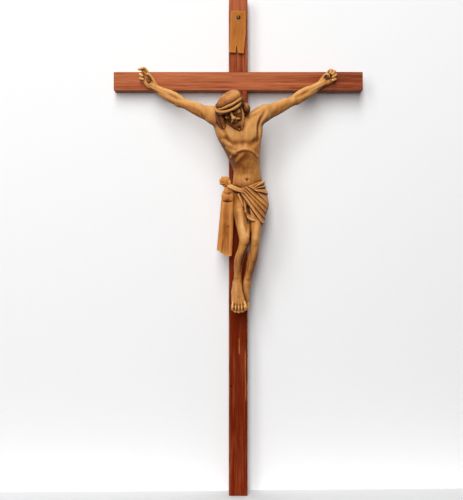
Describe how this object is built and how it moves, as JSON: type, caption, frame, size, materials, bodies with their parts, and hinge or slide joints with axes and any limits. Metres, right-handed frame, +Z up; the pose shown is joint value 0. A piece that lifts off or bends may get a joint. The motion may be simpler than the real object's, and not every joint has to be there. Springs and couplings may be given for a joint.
{
  "type": "crucifix",
  "caption": "Wooden wall crucifix: half-lapped cross with a carved figure, separate arms, palm nails, a bare board at the top and a hanging hole behind.",
  "frame": {"origin": "mouth of the hanging hole, on the axis of the upright's back face", "axes": "+Z up along the upright, +Y out of the back towards the wall, +X to the figure's left along the crossbar"},
  "size_m": [0.3, 0.0831, 0.6],
  "materials": {
    "cross_wood": "red-brown stain, satin, worn paler along the edges",
    "crossbar_wood": "red-brown stain, satin, rubbed paler on the front",
    "carved_wood": "honey-brown stained carving, satin, darker in the recesses",
    "board_wood": "honey-brown stained thin board, satin",
    "dowel_wood": "plain turned dowel",
    "nail_metal": "dark brown patinated round head",
    "screw_metal": "plain slotted screw"
  },
  "bodies": {
    "root": {"upright_post": "cross_wood", "crossbar": "crossbar_wood", "corpus_body": "carved_wood", "right_arm": "carved_wood", "left_arm": "carved_wood", "loincloth_end": "carved_wood", "titulus": "board_wood", "right_shoulder_dowel": "dowel_wood", "left_shoulder_dowel": "dowel_wood", "right_hand_nail": "nail_metal", "left_hand_nail": "nail_metal", "titulus_tack": "nail_metal", "corpus_screw": "screw_metal"}
  },
  "joints": []
}
